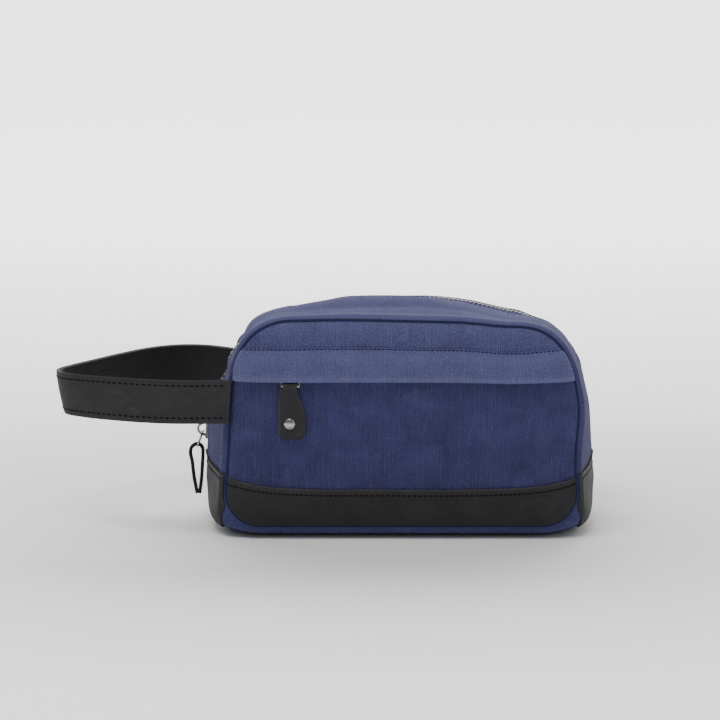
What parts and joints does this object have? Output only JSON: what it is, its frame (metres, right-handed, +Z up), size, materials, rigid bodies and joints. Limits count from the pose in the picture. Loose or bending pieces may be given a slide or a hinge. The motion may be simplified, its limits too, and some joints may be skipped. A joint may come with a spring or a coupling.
{
  "type": "shaving kit bag",
  "caption": "Zipped canvas wash bag for shaving kit, with leather base band and end caps, a zipped front pocket under a placket, and a leather wrist strap.",
  "frame": {"origin": "middle of the base, on the surface that the bag stands on", "axes": "+X right along the bag's width (the wrist strap is at -X), +Y from the pocket side to the back, +Z up"},
  "size_m": [0.3693, 0.1409, 0.1582],
  "materials": {
    "canvas_blue": "waxed cotton canvas with a fine rib, matt with scuffed highlights",
    "canvas_base": "waxed cotton canvas, darker along the base",
    "leather_black": "matt full-grain leather with cut edges",
    "leather_lace": "matt round-edged lace",
    "webbing_black": "ribbed polyester webbing",
    "lining": "plain-woven lining",
    "board": "pressed stiffening board",
    "zip_tape": "woven zip tape",
    "zip_metal": "antique-silver plated, worn",
    "nickel": "polished nickel plate"
  },
  "bodies": {
    "bag": {"front_panel": "canvas_blue", "front_yoke": "canvas_blue", "pocket_placket": "canvas_blue", "front_band": "leather_black", "back_panel": "canvas_blue", "back_band": "leather_black", "gusset_front": "canvas_blue", "gusset_back": "canvas_blue", "base_gusset": "canvas_base", "end_cap_left": "leather_black", "end_cap_right": "leather_black", "zip_end_tab_left": "leather_black", "zip_end_tab_right": "leather_black", "base_board": "board", "lining_front": "lining", "lining_back": "lining", "lining_gusset_front": "lining", "lining_gusset_back": "lining", "lining_base": "lining", "pocket_pouch": "lining", "pocket_tape_upper": "zip_tape", "pocket_tape_lower": "zip_tape", "pocket_teeth_upper": "zip_metal", "pocket_teeth_lower": "zip_metal", "pocket_zip_stops": "zip_metal", "main_tape_front": "zip_tape", "main_tape_back": "zip_tape", "main_teeth_front": "zip_metal", "main_teeth_back": "zip_metal", "strap_leather": "leather_black", "strap_webbing": "webbing_black"},
    "main_slider": {"main_slider": "zip_metal"},
    "pull_link": {"pull_link": "nickel"},
    "pull_lace": {"pull_lace": "leather_lace"},
    "pocket_slider": {"pocket_slider": "zip_metal", "pocket_pull_loop": "nickel"},
    "pocket_tab": {"pocket_tab": "leather_black", "tab_rivet": "nickel"}
  },
  "joints": [
    {"name": "main_slider_travel", "type": "slide", "parent": "bag", "child": "main_slider", "axis": [0.0628, 0, 0.998], "range_m": [-0.007, 0.018]},
    {"name": "pull_link_swing", "type": "hinge", "parent": "main_slider", "child": "pull_link", "pos_m": [-0.13725, 0, 0.06356], "axis": [0, 1, 0], "range_deg": [0, 130]},
    {"name": "pull_lace_swing", "type": "hinge", "parent": "pull_link", "child": "pull_lace", "pos_m": [-0.14118, 0, 0.05275], "axis": [0, 1, 0], "range_deg": [0, 60]},
    {"name": "pocket_slider_travel", "type": "slide", "parent": "bag", "child": "pocket_slider", "axis": [1, 0, 0], "range_m": [0, 0.145]},
    {"name": "pocket_tab_swing", "type": "hinge", "parent": "pocket_slider", "child": "pocket_tab", "pos_m": [-0.075, -0.0649, 0.1072], "axis": [-1, 0, 0], "range_deg": [0, 90]}
  ]
}
